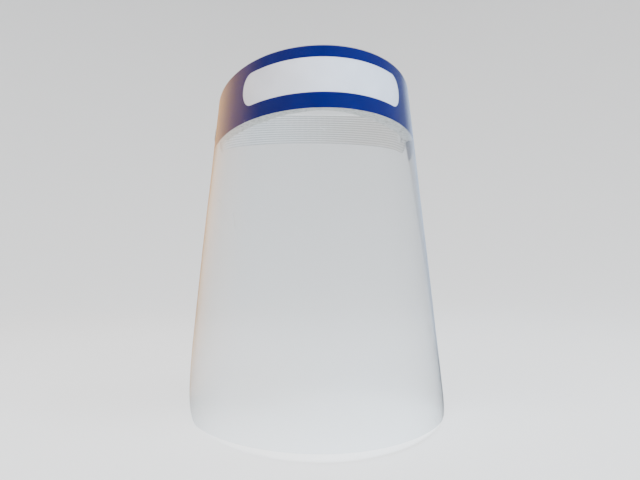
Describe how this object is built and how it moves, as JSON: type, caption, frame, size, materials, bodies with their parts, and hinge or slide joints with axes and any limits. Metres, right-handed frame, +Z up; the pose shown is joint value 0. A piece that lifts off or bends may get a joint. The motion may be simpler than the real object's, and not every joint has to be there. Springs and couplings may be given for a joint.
{
  "type": "face shield",
  "caption": "Clear curved splash shield with a printed header band, foam brow pad and elastic head strap that pivots on snap rivets.",
  "frame": {"origin": "middle of the head loop, midway between the strap's two pivots", "axes": "+Z up as worn, the wearer faces -Y, and +X is the wearer's left"},
  "size_m": [0.18, 0.2222, 0.2332],
  "materials": {
    "clear_sheet": "clear polished plastic sheet with a high gloss",
    "blue_print": "royal blue printed film, glossy through the sheet",
    "white_print": "white printed film, glossy through the sheet",
    "adhesive": "dull double-sided adhesive tape",
    "foam": "open-cell polyurethane foam, matt",
    "elastic": "knitted white elastic",
    "rivet_nylon": "moulded white nylon, satin"
  },
  "bodies": {
    "shield": {"visor_sheet": "clear_sheet", "header_band": "blue_print", "label_panel": "white_print", "foam_tape": "adhesive", "foam_cushion": "foam", "left_rivet": "rivet_nylon", "right_rivet": "rivet_nylon", "left_washer": "rivet_nylon", "right_washer": "rivet_nylon", "left_rivet_cap": "rivet_nylon", "right_rivet_cap": "rivet_nylon"},
    "strap": {"strap": "elastic"}
  },
  "joints": [
    {"name": "strap_swing", "type": "hinge", "parent": "shield", "child": "strap", "pos_m": [0, 0, 0], "axis": [1, 0, 0], "range_deg": [-90, 55]}
  ]
}
